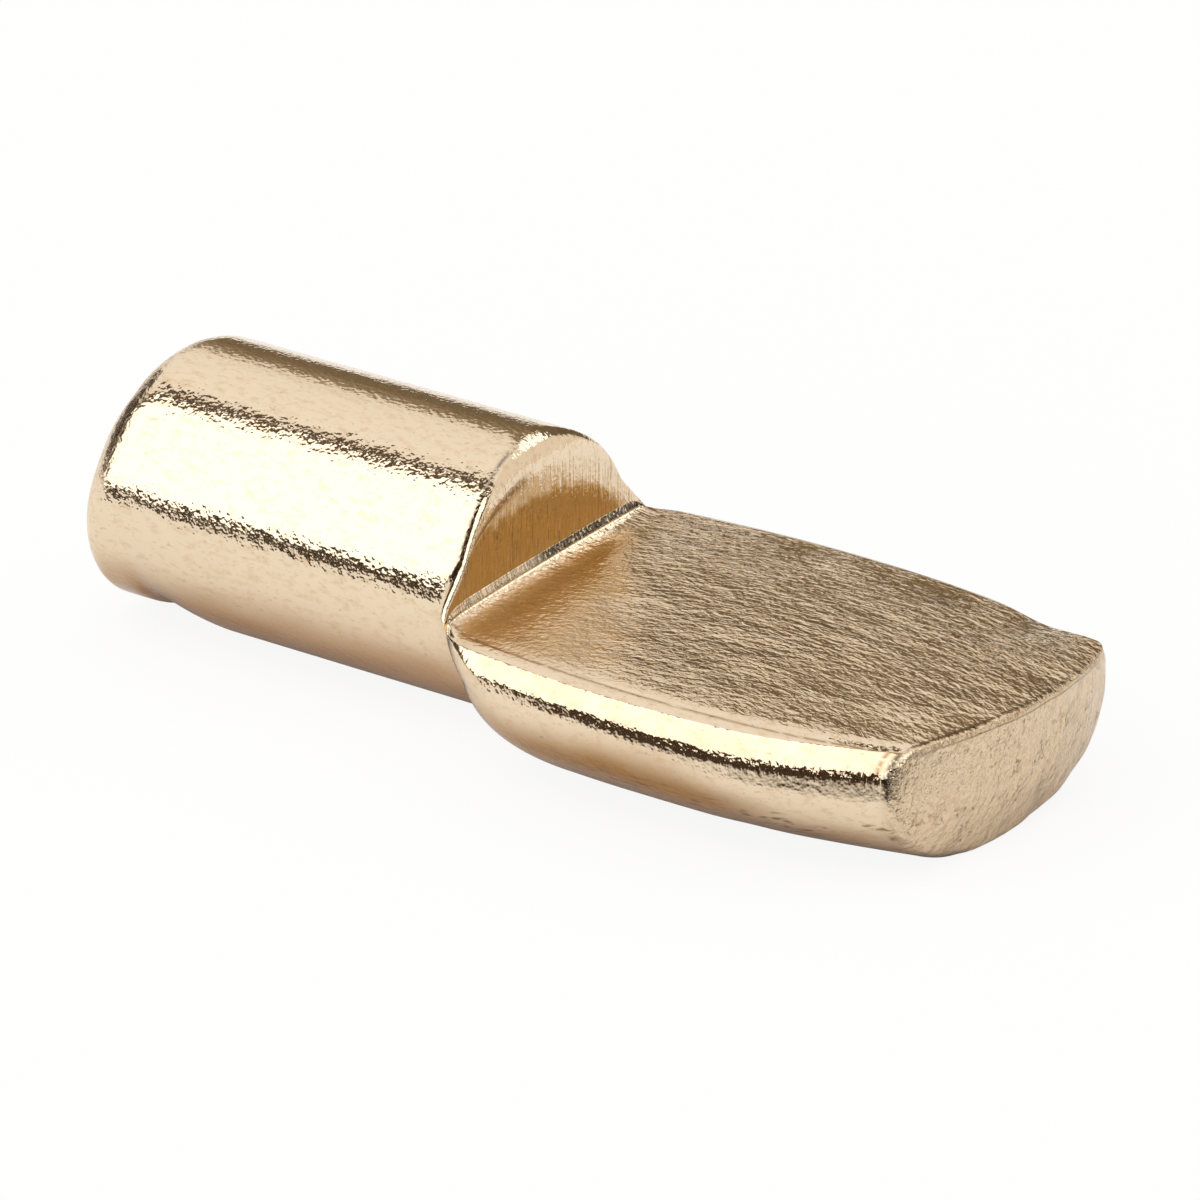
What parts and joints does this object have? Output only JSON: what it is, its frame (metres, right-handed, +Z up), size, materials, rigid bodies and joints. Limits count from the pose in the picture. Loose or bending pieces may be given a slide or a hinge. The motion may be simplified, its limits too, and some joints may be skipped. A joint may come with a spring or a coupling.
{
  "type": "shelf support pin",
  "caption": "Forged shelf support pin: a round peg for a drilled hole that runs into a wide flat-topped blade with a rounded belly, which carries a shelf.",
  "frame": {"origin": "on the pin's axis, in the plane of the step between pin and blade", "axes": "+X along the pin's axis towards the blade's tip, with the pin on the -X side, and +Z up, square to the shelf seat"},
  "size_m": [0.0229, 0.0092, 0.0062],
  "materials": {
    "plated_steel": "bright brass plate over forged steel"
  },
  "bodies": {
    "root": {"support_pin": "plated_steel"}
  },
  "joints": []
}
